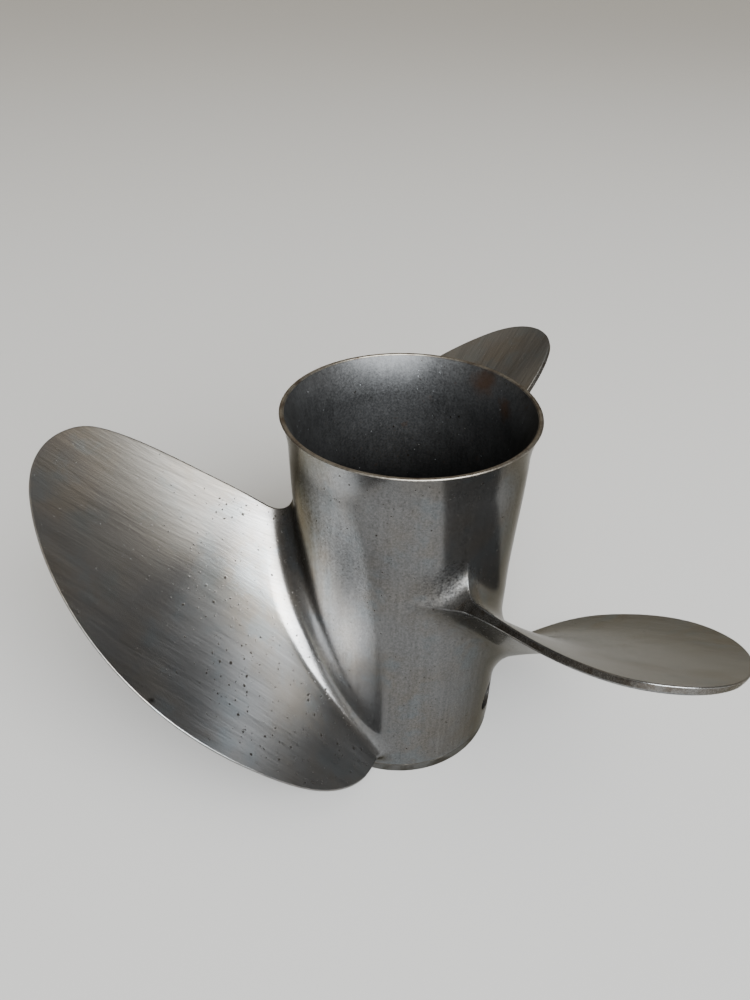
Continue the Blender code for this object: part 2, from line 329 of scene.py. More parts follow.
def section_loop(radius, outline):
    """Fine blade section: (along, across) points of face and back, their fillet radii, and chord places."""
    start, end = edge_places(radius)
    places = chord_places(radius, start, end)
    along = start + (end - start) * places
    thickest = ROOT_THICKNESS + (TIP_THICKNESS - ROOT_THICKNESS) * span_share(radius)
    trailing = trailing_edge_thickness(radius)
    edge = trailing + (LEADING_EDGE_THICKNESS - trailing) * places
    thickness = edge + np.maximum(0.0, thickest - edge) * 4 * places * (1 - places)

    corner = trailing_corner(radius) + (LEADING_CORNER - trailing_corner(radius)) * places
    corner = np.minimum(corner, thickness / 2)
    near = distance_to(np.stack([np.full(len(along), radius), along], axis=1), outline)
    inset = corner - np.sqrt(np.maximum(0.0, corner ** 2 - np.maximum(0.0, corner - near) ** 2))
    face = np.stack([along, -inset], axis=1)
    back = np.stack([along, inset - thickness], axis=1)

    fillets = []
    for narrow_start, narrow_end in (PRESSURE_SIDE_NARROWING, SUCTION_SIDE_NARROWING):
        narrowing = np.array([ease((place - narrow_start) / (narrow_end - narrow_start)) for place in places])
        fillets.append(WIDE_FILLET + (NARROW_FILLET - WIDE_FILLET) * narrowing)
    return np.concatenate([face, back[::-1]]), np.concatenate([fillets[0], fillets[1][::-1]]), places


def grown_loop(loop, growths, places):
    """The loop's points moved outwards, each by its own distance, at right angles to the outline.

    Towards the trailing edge the sides and the land move apart squarely, so the edge keeps its two ridges.
    """
    after = np.roll(loop, -1, axis=0) - loop
    before = loop - np.roll(loop, 1, axis=0)
    length_after = np.maximum(np.linalg.norm(after, axis=1, keepdims=True), 1e-9)
    length_before = np.maximum(np.linalg.norm(before, axis=1, keepdims=True), 1e-9)
    heading = after / length_after + before / length_before
    outward = np.stack([-heading[:, 1], heading[:, 0]], axis=1)
    outward /= np.linalg.norm(outward, axis=1, keepdims=True)
    rounded_off = loop + outward * growths[:, None]

    both = np.concatenate([places, places[::-1]])
    sides = np.repeat([1.0, -1.0], len(places))
    backwards = np.array([1 - ease(place / RIDGE_REACH) for place in both])
    squared = loop + np.stack([-growths[0] * backwards, growths * sides], axis=1)
    share = np.array([ease((place - RIDGE_HOLD * RIDGE_REACH) / RIDGE_REACH) for place in both])
    return squared + (rounded_off - squared) * share[:, None]


def wrap_on_cylinder(loop, radius):
    """Angles and heights of a section's points on its cylinder. The pitch line falls as the angle grows."""
    pitch_angle = math.atan2(PITCH / math.tau, radius)
    along, across = loop[:, 0], loop[:, 1]
    turns = (along * math.cos(pitch_angle) + across * math.sin(pitch_angle)) / radius
    rises = across * math.cos(pitch_angle) - along * math.sin(pitch_angle)
    return math.radians(FACE_MID_ANGLE) + turns, face_height(radius) + rises


def blade_ring(radius, outline):
    """A blade section's (radius, angle, height) points: its face, its back and its flat land.

    Near the hub its foot follows the barrel's taper.
    """
    loop, fillets, places = section_loop(radius, outline)
    outward = radius - BARREL_RADIUS
    if outward < WIDE_FILLET:
        rest = np.maximum(0.0, fillets - outward)
        loop = grown_loop(loop, fillets - np.sqrt(fillets ** 2 - rest ** 2), places)
    shares = np.arange(1, LAND_STEPS)[:, None] / LAND_STEPS
    loop = np.concatenate([loop, loop[-1] + (loop[0] - loop[-1]) * shares])
    angles, heights = wrap_on_cylinder(loop, radius)
    fade = 1 - ease(outward / (2 * WIDE_FILLET))
    radii = [radius + (barrel_radius(height) - BARREL_RADIUS) * fade for height in heights]
    return np.stack([radii, angles, heights], axis=1)


def blade_rings():
    """The blade's sections from its foot to its tip, closest together at both ends."""
    foot = BARREL_RADIUS + WIDE_FILLET
    edge_start = TIP_RADIUS - TRAILING_CORNER
    last = TIP_RADIUS - TIP_INSET
    radii = [
        BARREL_RADIUS + WIDE_FILLET * (1 - math.cos(math.pi / 2 * step / FILLET_STEPS))
        for step in range(FILLET_STEPS)]
    radii += [
        foot + (edge_start - foot) * (1 - (1 - step / SPAN_STEPS) ** SPAN_CROWDING)
        for step in range(SPAN_STEPS)]
    radii += [
        edge_start + (last - edge_start) * math.sin(math.pi / 2 * step / TIP_STEPS)
        for step in range(TIP_STEPS + 1)]
    outline = outline_points()
    return [blade_ring(radius, outline) for radius in radii]


def add_rings(builder, rings, finish):
    """Lofted skin through rings of (radius, angle, height) points."""
    indices = [builder.add(around(*point) for point in ring) for ring in rings]
    for lower, upper in zip(indices, indices[1:]):
        builder.bridge(lower, upper, finish)


def add_blade(builder, rings):
    """A blade's skin: its polished sides, the trailing edge's land, and the strip that closes its tip."""
    indices = [builder.add(around(*point) for point in ring) for ring in rings]
    back_end = len(indices[0]) - LAND_STEPS
    for ring, lower, upper in zip(rings, indices, indices[1:]):
        builder.bridge(lower[:back_end + 1], upper[:back_end + 1], "polished", closed=False)
        land = "land" if ring[0][0] > LAND_START else "polished"
        builder.bridge(lower[back_end:] + lower[:1], upper[back_end:] + upper[:1], land, closed=False)
    tip = indices[-1]
    builder.face((tip[0], tip[1], tip[back_end - 1], *tip[back_end:]), "land")
    for index in range(1, back_end // 2):
        builder.face((tip[index], tip[index + 1], tip[back_end - 1 - index], tip[back_end - index]), "land")


def inside(points, loop):
    """Which points lie inside a closed loop, by counting crossings."""
    result = np.zeros(len(points), bool)
    for start, end in zip(loop, np.roll(loop, -1, axis=0)):
        crosses = (start[1] > points[:, 1]) != (end[1] > points[:, 1])
        if start[1] != end[1]:
            where = start[0] + (points[:, 1] - start[1]) * (end[0] - start[0]) / (end[1] - start[1])
            result ^= crosses & (points[:, 0] < where)
    return result


def between_loops(points, loops):
    """Which points lie inside the first loop and outside the others."""
    keep = inside(points, loops[0])
    for hole in loops[1:]:
        keep &= ~inside(points, hole)
    return keep


def even_grid(loops, spacing):
    """Staggered points inside the first loop and outside the others, clear of every loop."""
    rim = np.concatenate(loops)
    low, high = rim.min(axis=0), rim.max(axis=0)
    rows = int((high[1] - low[1]) / (spacing * ROW_SPACING))
    columns = int((high[0] - low[0]) / spacing)
    grid = []
    for row in range(1, rows):
        height = low[1] + (high[1] - low[1]) * row / rows
        offset = 0.5 * (row % 2)
        grid += [
            (low[0] + (high[0] - low[0]) * (column + offset) / columns, height)
            for column in range(columns + 1)]
    grid = np.array(grid)
    grid = grid[between_loops(grid, loops)]
    nearest = np.full(len(grid), np.inf)
    for point in rim:
        nearest = np.minimum(nearest, ((grid - point) ** 2).sum(axis=1))
    return grid[nearest > (RIM_CLEARANCE * spacing) ** 2]


def fill_skin(builder, outline, rings, radius, true_radius, spacing, finish):
    """Even triangles between an outline and rings in it, developed at a radius and put at the true one."""
    loops = [np.array(outline)]
    loops += [np.array([(angle * radius, height) for _, angle, height in ring]) for ring in rings]
    flat = [Vector(point) for point in np.concatenate([*loops, even_grid(loops, spacing)])]
    edges, start = [], 0
    for loop in loops:
        count = len(loop)
        edges += [(start + index, start + (index + 1) % count) for index in range(count)]
        start += count
    verts, _, triangles, _, _, _ = delaunay_2d_cdt(flat, edges, [], 0, MERGE_DISTANCE)
    verts = np.array([tuple(vert) for vert in verts])
    triangles = np.array([tuple(triangle) for triangle in triangles])
    keep = between_loops(verts[triangles].mean(axis=1), loops)
    used = builder.add(around(true_radius(v), u / radius, v) for u, v in verts)
    for triangle in triangles[keep]:
        builder.face([used[corner] for corner in triangle], finish)


def sector_angles(seam):
    return [math.radians(seam + SECTOR_ANGLE * step / SECTOR_STEPS) for step in range(SECTOR_STEPS + 1)]


def skin_outline(radius, bottom, top, seam, spacing, slant=0.0):
    """Edge of a sector's skin, developed at a radius: along its bottom, up a seam, back along its top, down.

    The seams bend over by the slant, in degrees, on their way up.
    """
    across = [angle * radius for angle in sector_angles(seam)]
    lean = math.radians(slant) * radius
    steps = max(2, round((top - bottom) / spacing))
    shares = [step / steps for step in range(1, steps)]
    rise = [(lean * share * (1 + share) / 2, bottom + (top - bottom) * share) for share in shares]
    outline = [(u, bottom) for u in across]
    outline += [(across[-1] + u, v) for u, v in rise]
    outline += [(u + lean, top) for u in reversed(across)]
    outline += [(across[0] + u, v) for u, v in reversed(rise)]
    return outline


def vent_ring(hole_radius, skin_radius):
    """A vent's round edge where it meets a cylinder: (radius, angle, height) points."""
    ring = []
    for step in range(VENT_STEPS):
        turn = math.tau * step / VENT_STEPS
        across = hole_radius * math.cos(turn)
        angle = math.radians(VENT_ANGLE) + math.asin(across / skin_radius)
        ring.append((skin_radius, angle, VENT_HEIGHT + hole_radius * math.sin(turn)))
    return np.array(ring)


def web_outline(growth):
    """A web's rounded outline, grown by its fillet: (sideways, height) points."""
    corner = WEB_CORNER + growth
    half_width = WEB_THICKNESS / 2 + growth
    low = INNER_HUB_FRONT + WEB_SETBACK - growth
    high = INNER_HUB_REAR - WEB_SETBACK + growth
    centres = (
        (half_width - corner, high - corner),
        (corner - half_width, high - corner),
        (corner - half_width, low + corner),
        (half_width - corner, low + corner),
    )
    corners = []
    for quarter, (x, z) in enumerate(centres):
        for step in range(WEB_CORNER_STEPS + 1):
            turn = math.pi / 2 * (quarter + step / WEB_CORNER_STEPS)
            corners.append((x + corner * math.cos(turn), z + corner * math.sin(turn)))
    outline = []
    for index, (x, z) in enumerate(corners):
        after_x, after_z = corners[(index + 1) % len(corners)]
        quarter, step = divmod(index, WEB_CORNER_STEPS + 1)
        straight_steps = WEB_SIDE_STEPS if quarter % 2 else WEB_END_STEPS
        pieces = straight_steps if step == WEB_CORNER_STEPS else 1
        for piece in range(pieces):
            share = piece / pieces
            outline.append((x + (after_x - x) * share, z + (after_z - z) * share))
    return outline


def web_rings():
    """A web's skin from the inner hub to the bore, as rings of (radius, angle, height) points."""
    span = BORE_RADIUS - INNER_HUB_RADIUS
    plain = span - 2 * WEB_FILLET
    turns = [math.pi / 2 * step / WEB_CORNER_STEPS for step in range(WEB_CORNER_STEPS + 1)]
    fillet = [(WEB_FILLET * (1 - math.cos(turn)), WEB_FILLET * (1 - math.sin(turn))) for turn in turns]
    stations = list(fillet)
    stations += [(WEB_FILLET + plain * step / WEB_SPAN_STEPS, 0.0) for step in range(1, WEB_SPAN_STEPS)]
    stations += [(span - outward, growth) for outward, growth in reversed(fillet)]
    rings = []
    for outward, growth in stations:
        ring = []
        for sideways, height in web_outline(growth):
            wall = bore_radius(height) - INNER_HUB_RADIUS
            radius = INNER_HUB_RADIUS + wall * outward / span
            ring.append((radius, math.radians(WEB_ANGLE) + sideways / (INNER_HUB_RADIUS + outward), height))
        rings.append(ring)
    return [np.array(ring) for ring in rings]


def rounded(corner, radius, start_turn):
    """Arc points round a profile's corner centre, over a quarter turn."""
    return [
        (corner[0] + radius * math.cos(start_turn + turn), corner[1] + radius * math.sin(start_turn + turn))
        for turn in ROUNDING_TURNS]


def turned_strip(builder, profile, finish):
    """A profile of (radius, height) turned through one sector."""
    angles = sector_angles(OUTER_SEAM)
    rows = [builder.add(around(radius, angle, height) for angle in angles) for radius, height in profile]
    for lower, upper in zip(rows, rows[1:]):
        builder.bridge(lower, upper, finish, closed=False)


def add_lip(builder):
    """Round the flare and over the lip, down to where the bore's plain skin starts."""
    lip_start = HUB_LENGTH - LIP_CORNER
    shares = [step / FLARE_STEPS for step in range(FLARE_STEPS + 1)]
    flare = [FLARE_START + (lip_start - FLARE_START) * share for share in shares]
    below = [FLARE_START + (INNER_SKIN_TOP - FLARE_START) * share for share in shares[1:]]
    outer, inner = barrel_radius(HUB_LENGTH), bore_radius(HUB_LENGTH)
    lip = [(outer, lip_start)]
    lip += rounded((outer - LIP_CORNER, lip_start), LIP_CORNER, 0.0)
    lip += rounded((inner + LIP_CORNER, lip_start), LIP_CORNER, math.pi / 2)
    turned_strip(builder, [(barrel_radius(height), height) for height in flare] + lip[:1], "polished")
    turned_strip(builder, lip + [(bore_radius(lip_start), lip_start)], "lip")
    turned_strip(builder, [(bore_radius(height), height) for height in [*reversed(flare), *below]], "rough")


def add_front(builder):
    """Down from the skin over the groove and the front band, round its foot and up into the bore."""
    radius = BARREL_RADIUS - FRONT_BAND_STEP
    edge = FRONT_CORNER
    skin_end = (barrel_radius(FRONT_BAND_HEIGHT), FRONT_BAND_HEIGHT)
    groove = [(BARREL_RADIUS - inset, FRONT_BAND_HEIGHT - drop) for inset, drop in GROOVE_PROFILE]
    band = [(radius, FRONT_BAND_HEIGHT - drop) for drop in BAND_DROPS]
    band += [(radius - edge + edge * math.cos(turn), edge - edge * math.sin(turn)) for turn in ROUNDING_TURNS]
    foot = [band[-1]]
    foot += [
        (BORE_RADIUS + edge - edge * math.sin(turn), edge - edge * math.cos(turn))
        for turn in ROUNDING_TURNS]
    inside_wall = [foot[-1], (BORE_RADIUS, FRONT_BORE_HEIGHT), (BORE_RADIUS, INNER_SKIN_BOTTOM)]
    turned_strip(builder, [skin_end, groove[0]], "polished")
    turned_strip(builder, [*groove, band[0]], "groove")
    turned_strip(builder, band, "band")
    turned_strip(builder, foot, "lip")
    turned_strip(builder, inside_wall, "rough")


def build_sector():
    """One third of the casting with its blade, web and vent, for a blade at angle 0."""
    builder = Builder()
    blade = blade_rings()
    add_blade(builder, blade)

    chamfer_end = BARREL_RADIUS - VENT_CHAMFER
    vent_outer = vent_ring(VENT_RADIUS + VENT_CHAMFER, BARREL_RADIUS)
    vent_inner = vent_ring(VENT_RADIUS, BORE_RADIUS)
    vent_walls = [vent_ring(VENT_RADIUS, radius) for radius in (chamfer_end, (chamfer_end + BORE_RADIUS) / 2)]
    add_rings(builder, [vent_outer, *vent_walls, vent_inner], "polished")
    outline = skin_outline(
        BARREL_RADIUS, FRONT_BAND_HEIGHT, FLARE_START, OUTER_SEAM, SKIN_SPACING, OUTER_SEAM_SLANT)
    holes = [blade[0], vent_outer]
    fill_skin(builder, outline, holes, BARREL_RADIUS, barrel_radius, SKIN_SPACING, "polished")

    add_lip(builder)
    add_front(builder)

    webs = web_rings()
    add_rings(builder, webs, "rough")
    outline = skin_outline(BORE_RADIUS, INNER_SKIN_BOTTOM, INNER_SKIN_TOP, INNER_SEAM, INNER_SPACING)
    holes = [webs[-1], vent_inner]
    fill_skin(builder, outline, holes, BORE_RADIUS, bore_radius, INNER_SPACING, "rough")

    radius = INNER_HUB_RADIUS
    front, rear = INNER_HUB_FRONT + INNER_HUB_CORNER, INNER_HUB_REAR - INNER_HUB_CORNER
    outline = skin_outline(radius, front, rear, INNER_SEAM, INNER_SPACING)
    fill_skin(builder, outline, webs[:1], radius, lambda height: radius, INNER_SPACING, "rough")
    return builder


def square_radius(angle, width, corner):
    """Distance from the axis to a rounded square, in the direction of an angle."""
    folded = abs((angle + math.pi / 4) % (math.pi / 2) - math.pi / 4)
    flat = width / 2 / math.cos(folded)
    if flat * math.sin(folded) <= width / 2 - corner:
        return flat
    centre = math.sqrt(2) * (width / 2 - corner)
    offset = math.pi / 4 - folded
    return centre * math.cos(offset) + math.sqrt(corner ** 2 - (centre * math.sin(offset)) ** 2)


def build_inner_hub_ends():
    """The inner hub's two end faces, the square seat of its sleeve, and the shoulder behind it."""
    builder = Builder()
    edge = INNER_HUB_CORNER
    count = SECTOR_STEPS * BLADE_COUNT
    start = math.radians(FIRST_BLADE_ANGLE + OUTER_SEAM)
    angles = [start + math.tau * step / count for step in range(count)]

    def ring(radius, height):
        return [(radius(angle) if callable(radius) else radius, angle, height) for angle in angles]

    def seat(extra):
        return lambda angle: square_radius(angle, SEAT_WIDTH + 2 * extra, SEAT_CORNER + extra)

    rear, front = INNER_HUB_REAR, INNER_HUB_FRONT
    rings = [ring(INNER_HUB_RADIUS, rear - edge)]
    rings += [
        ring(INNER_HUB_RADIUS - edge + edge * math.cos(turn), rear - edge + edge * math.sin(turn))
        for turn in ROUNDING_TURNS[1:]]
    rings += [ring(radius, rear) for radius in (*END_FACE_RADII, SHOULDER_BORE_RADIUS + SEAT_LEAD_IN)]
    rings += [ring(SHOULDER_BORE_RADIUS, height) for height in (rear - SEAT_LEAD_IN, SHOULDER_FRONT)]
    depth = SHOULDER_FRONT - front - SEAT_LEAD_IN
    rings += [ring(seat(0.0), SHOULDER_FRONT - depth * step / SEAT_STEPS) for step in range(SEAT_STEPS + 1)]
    rings += [ring(seat(SEAT_LEAD_IN), front), ring(INNER_HUB_RADIUS - 2 * edge, front)]
    rings += [
        ring(INNER_HUB_RADIUS - edge + edge * math.sin(turn), front + edge - edge * math.cos(turn))
        for turn in ROUNDING_TURNS]
    add_rings(builder, rings, "rough")
    return builder


def join_sectors():
    """A sector turned to each blade, and the inner hub's ends.

    Also gives each face corner's place in the frame of its own sector, as if its blade stood at angle 0.
    """
    sector, ends = build_sector(), build_inner_hub_ends()
    turns = [
        np.array(Matrix.Rotation(math.radians(FIRST_BLADE_ANGLE + SECTOR_ANGLE * number), 3, "Z"))
        for number in range(BLADE_COUNT)]
    flat = np.array(sector.points)
    parts = [(sector, flat @ turn.T, turn) for turn in turns]
    parts.append((ends, ends.points, turns[0]))

    whole, own_places = Builder(), []
    for part, points, turn in parts:
        used = whole.add(points)
        for face, finish in zip(part.faces, part.finishes):
            corners = [used[corner] for corner in face]
            whole.face(corners, finish)
            own_places += [tuple(turn.T @ whole.points[corner]) for corner in corners]
    return whole, own_places


def casting_mesh():
    """The whole casting as one closed, welded mesh, with its finishes and the layer of its own places."""
    whole, own_places = join_sectors()
    mesh = bpy.data.meshes.new("propeller_casting_surface")
    mesh.from_pydata(whole.points, [], whole.faces)
    mesh.polygons.foreach_set("material_index", [FINISHES.index(finish) for finish in whole.finishes])
    own_layer = mesh.attributes.new("own", "FLOAT_VECTOR", "CORNER")
    own_layer.data.foreach_set("vector", np.array(own_places).ravel())

    bm = bmesh.new()
    bm.from_mesh(mesh)
    bmesh.ops.remove_doubles(bm, verts=bm.verts, dist=WELD_DISTANCE)
    bmesh.ops.recalc_face_normals(bm, faces=bm.faces)
    bm.to_mesh(mesh)
    bm.free()
    mesh.shade_smooth()
    mesh.set_sharp_from_angle(angle=math.radians(SHARP_ANGLE))
    return mesh


class Shader:
    """A material's node tree. Each call takes numbers or outputs, adds a node and gives its output."""

    def __init__(self, name):
        self.material = bpy.data.materials.new(name)
        self.material.use_nodes = True
        self.tree = self.material.node_tree
        self.surface = self.tree.nodes["Principled BSDF"]

    def set(self, node, socket, value):
        if isinstance(value, bpy.types.NodeSocket):
            self.tree.links.new(value, node.inputs[socket])
        else:
            node.inputs[socket].default_value = value

    def finish(self, **values):
        """Sets the surface's sockets, by names such as base_color."""
        for name, value in values.items():
            self.set(self.surface, name.replace("_", " ").title(), value)
        return self.material

    def place(self):
        return self.tree.nodes.new("ShaderNodeTexCoord").outputs["Object"]

    def own_place(self):
        """Place in the blade's own frame, as if each blade stood at angle 0."""
        node = self.tree.nodes.new("ShaderNodeAttribute")
        node.attribute_name = "own"
        return node.outputs["Vector"]

    def vector(self, operation, first, second=(0.0, 0.0, 0.0)):
        node = self.tree.nodes.new("ShaderNodeVectorMath")
        node.operation = operation
        self.set(node, 0, first)
        self.set(node, 1, second)
        return node.outputs["Value" if operation in ("LENGTH", "DISTANCE", "DOT_PRODUCT") else "Vector"]

    def scaled(self, vector, factor):
        node = self.tree.nodes.new("ShaderNodeVectorMath")
        node.operation = "SCALE"
        self.set(node, "Vector", vector)
        self.set(node, "Scale", factor)
        return node.outputs["Vector"]

    def turned(self, where, angle):
        """A place turned about the shaft's axis, by an angle in degrees."""
        node = self.tree.nodes.new("ShaderNodeVectorRotate")
        node.rotation_type = "Z_AXIS"
        self.set(node, "Vector", where)
        self.set(node, "Angle", math.radians(angle))
        return node.outputs["Vector"]

    def number(self, operation, first, second=0.0, third=0.0):
        node = self.tree.nodes.new("ShaderNodeMath")
        node.operation = operation
        for index, value in enumerate((first, second, third)):
            self.set(node, index, value)
        return node.outputs[0]

    def total(self, *values):
        result = values[0]
        for value in values[1:]:
            result = self.number("ADD", result, value)
        return result

    def product(self, *values):
        result = values[0]
        for value in values[1:]:
            result = self.number("MULTIPLY", result, value)
        return result

    def weighted(self, *pairs):
        """The total of values, each times its own weight."""
        return self.total(*(self.product(value, weight) for value, weight in pairs))

    def swing(self, noise, amount):
        """A noise's swing about its middle, which is 0.5."""
        return self.number("MULTIPLY_ADD", noise, amount, -0.5 * amount)

    def between(self, value, low, high, to_low=0.0, to_high=1.0):
        """Eases from to_low to to_high while the value goes from low to high."""
        node = self.tree.nodes.new("ShaderNodeMapRange")
        node.interpolation_type = "SMOOTHSTEP"
        values = (value, low, high, to_low, to_high)
        for socket, part in zip(("Value", "From Min", "From Max", "To Min", "To Max"), values):
            self.set(node, socket, part)
        return node.outputs["Result"]

    def noise(self, where, scale, detail=2.0, roughness=0.5, output="Fac"):
        node = self.tree.nodes.new("ShaderNodeTexNoise")
        values = (where, scale, detail, roughness)
        for socket, value in zip(("Vector", "Scale", "Detail", "Roughness"), values):
            self.set(node, socket, value)
        return node.outputs[output]

    def wander(self, where, scale, distance):
        """A place shifted at random, smoothly, by up to about a distance."""
        shift = self.vector("SUBTRACT", self.noise(where, scale, output="Color"), (0.5, 0.5, 0.5))
        return self.vector("ADD", where, self.scaled(shift, 2 * distance))

    def stretched(self, where, scales):
        """Fine lines: noise with its own scale along each axis."""
        return self.noise(self.vector("MULTIPLY", where, scales), 1.0, 2.0, 0.6)

    def dots(self, where, scale, share, size):
        """Scattered dots in a share of the cells, of unlike sizes up to a share of the cells' spacing."""
        node = self.tree.nodes.new("ShaderNodeTexVoronoi")
        self.set(node, "Vector", where)
        self.set(node, "Scale", scale)
        lot = self.tree.nodes.new("ShaderNodeSeparateColor")
        self.set(lot, "Color", node.outputs["Color"])
        edge = self.product(self.between(lot.outputs["Red"], 1.0 - share, 1.0), size)
        return self.between(node.outputs["Distance"], self.product(edge, 0.4), edge, 1.0, 0.0)

    def near(self, where, spot, reach):
        """From 1 at a spot to 0 at a reach from it."""
        return self.between(self.vector("DISTANCE", where, spot), 0.0, reach, 1.0, 0.0)

    def mix(self, share, first, second):
        """Blend of two colours."""
        node = self.tree.nodes.new("ShaderNodeMix")
        node.data_type = "RGBA"
        self.set(node, "Factor", share)
        sockets = [number for number, socket in enumerate(node.inputs) if socket.type == "RGBA"]
        for socket, colour in zip(sockets, (first, second)):
            self.set(node, socket, colour if isinstance(colour, bpy.types.NodeSocket) else (*colour, 1.0))
        return next(socket for socket in node.outputs if socket.type == "RGBA")

    def bump(self, height):
        """Normal of a surface raised by a height in metres."""
        node = self.tree.nodes.new("ShaderNodeBump")
        self.set(node, "Height", height)
        self.set(node, "Distance", 1.0)
        return node.outputs["Normal"]


STEEL = (0.176, 0.178, 0.181)
WARM_STEEL = (0.170, 0.161, 0.150)
COOL_STEEL = (0.165, 0.176, 0.184)
GRAZING_TINT = (0.37, 0.350, 0.305, 1.0)
METALLIC = 0.93
PIT_DIRT = (0.030, 0.027, 0.024)
LAND_STEEL = (0.136, 0.132, 0.126)
LAND_STAIN = (0.085, 0.075, 0.065)
# The groove's colour is painted shade of the step above it, with dirt in it
GROOVE_SHADE_AND_DIRT = (0.016, 0.015, 0.013)
BAND_STEEL = (0.092, 0.092, 0.090)
BAND_STAIN = (0.050, 0.047, 0.042)
LIP_STEEL = (0.205, 0.195, 0.175)
LIP_STAIN = (0.105, 0.090, 0.077)
ROUGH_STEEL = (0.080, 0.083, 0.087)
ROUGH_SPECK = (0.30, 0.32, 0.34)
RUST = (0.080, 0.048, 0.032)
MOULDED_BLACK = (0.018, 0.018, 0.020)
MOULDED_GREY = (0.0396, 0.0396, 0.0440)
BRASS = (0.46, 0.33, 0.15)
BRASS_STAIN = (0.22, 0.15, 0.07)

# Marks: middle and reach. The patch that is left as cast is in the blade's own frame, so each blade has it
CAST_PATCH = ((0.0590, -0.0075, 0.1370), 0.021)
NICK = ((-0.1050, -0.1054, 0.1081), 0.0024)
LIP_RUST = ((0.0453, -0.0406, 0.1972), 0.0022)
RUST_SPOTS = (
    ((0.0374, 0.0434, 0.1934), 0.011),
    ((0.0479, 0.0280, 0.1864), 0.008),
)

# Places on the first blade and beside it painted brighter or darker, as painted highlights and painted shade
# of the window's reflections: middle, reach and swing
PAINTED_LIGHT_PATCHES = (
    ((-0.0680, -0.0380, 0.0960), 0.034, 0.90),
    ((-0.0470, -0.0620, 0.0670), 0.028, 0.75),
    ((-0.0780, -0.0880, 0.0880), 0.038, -0.30),
    ((-0.0450, -0.0340, 0.1720), 0.030, -0.26),
    ((-0.0280, -0.0490, 0.1480), 0.032, -0.26),
    ((-0.0310, -0.0465, 0.1000), 0.032, 0.45),
)

# Heights between which the soot and the painted shade in the barrel thin out, and how much light they leave
# at the lower one
SOOT_AND_SHADE_HEIGHTS = (0.118, 0.168)
SOOT_AND_SHADE_SHARE = 0.30


def steel_finish(shader, colour, roughness, height):
    return shader.finish(
        base_color=colour, metallic=METALLIC, roughness=roughness, specular_tint=GRAZING_TINT,
        normal=shader.bump(height))


def polished_steel():
    """Hand-ground stainless steel: brushed blades, a speckled barrel, and pits towards the roots."""
    shader = Shader("stainless_polished")
    place, own = shader.place(), shader.own_place()
    radius = shader.vector("LENGTH", shader.vector("MULTIPLY", place, (1.0, 1.0, 0.0)))
    on_blade = shader.between(radius, 0.058, 0.074)
    on_barrel = shader.number("SUBTRACT", 1.0, on_blade)

    brushed = shader.wander(own, 14.0, 0.0018)
    fine_lines = shader.stretched(brushed, (24.0, 1250.0, 24.0))
    wide_lines = shader.stretched(brushed, (8.0, 330.0, 8.0))
    crossing_lines = shader.stretched(shader.turned(brushed, 14.0), (22.0, 950.0, 22.0))
    upright_lines = shader.stretched(place, (520.0, 520.0, 20.0))
    grain = shader.noise(place, 1500.0, 3.0, 0.65)
    speckle = shader.noise(place, 900.0, 2.0, 0.7)
    waves = shader.noise(own, 42.0, 1.0)
    clouds = shader.noise(place, 26.0, 4.0, 0.6)
    tints = shader.noise(place, 55.0, 3.0, 0.6)

    near_root = shader.between(radius, 0.085, 0.165, 1.0, 0.35)
    off_barrel = shader.between(radius, 0.057, 0.066, 0.55, 1.0)
    patches = shader.between(shader.noise(place, 34.0, 2.0), 0.36, 0.60, 0.62, 1.0)
    pit_size = shader.product(near_root, off_barrel, patches)
    ragged = shader.wander(place, 900.0, 0.0007)
    pits = shader.number(
        "MAXIMUM", shader.dots(ragged, 250.0, 0.80, shader.product(pit_size, 0.29)),
        shader.dots(ragged, 520.0, 0.50, shader.product(pit_size, 0.36)))
    freckles = shader.product(shader.dots(ragged, 430.0, 0.60, 0.24), on_barrel, 0.75)
    marks = shader.number("MAXIMUM", freckles, shader.near(ragged, *NICK))
    cast = shader.near(shader.wander(own, 160.0, 0.003), *CAST_PATCH)

    line_swing = shader.total(
        shader.swing(fine_lines, 0.95), shader.swing(wide_lines, 0.12), shader.swing(crossing_lines, 0.60))
    barrel_swing = shader.total(-0.32, shader.swing(upright_lines, 0.30), shader.swing(speckle, 0.75))
    cast_swing = shader.total(-0.40, shader.swing(speckle, 0.3))
    shade = shader.total(
        1.0,
        shader.swing(grain, 0.35),
        shader.weighted((line_swing, on_blade), (barrel_swing, on_barrel), (cast_swing, cast)))
    # Painted highlights and painted shade: patches made brighter or darker where the window's reflections
    # fall
    for middle, reach, swing in PAINTED_LIGHT_PATCHES:
        shade = shader.total(shade, shader.product(shader.near(place, middle, reach), swing))

    line_height = shader.weighted((fine_lines, 1.5e-5), (wide_lines, 1.0e-5), (crossing_lines, 1.5e-5))
    barrel_height = shader.weighted((upright_lines, 5.0e-6), (speckle, 1.6e-5))
    height = shader.weighted(
        (line_height, on_blade), (barrel_height, on_barrel),
        (grain, 3.0e-6), (waves, 5.0e-5), (pits, -6.0e-5))

    stain = shader.between(clouds, 0.42, 0.68)
    colour = shader.mix(stain, STEEL, WARM_STEEL)
    colour = shader.mix(shader.between(tints, 0.50, 0.68), colour, COOL_STEEL)
    colour = shader.mix(shader.number("MAXIMUM", pits, marks), shader.scaled(colour, shade), PIT_DIRT)
    roughness = shader.total(
        shader.between(on_blade, 0.0, 1.0, 0.19, 0.21),
        shader.swing(grain, 0.08),
        shader.weighted((stain, 0.04), (pits, 0.3), (cast, 0.24)))
    return steel_finish(shader, colour, roughness, height)


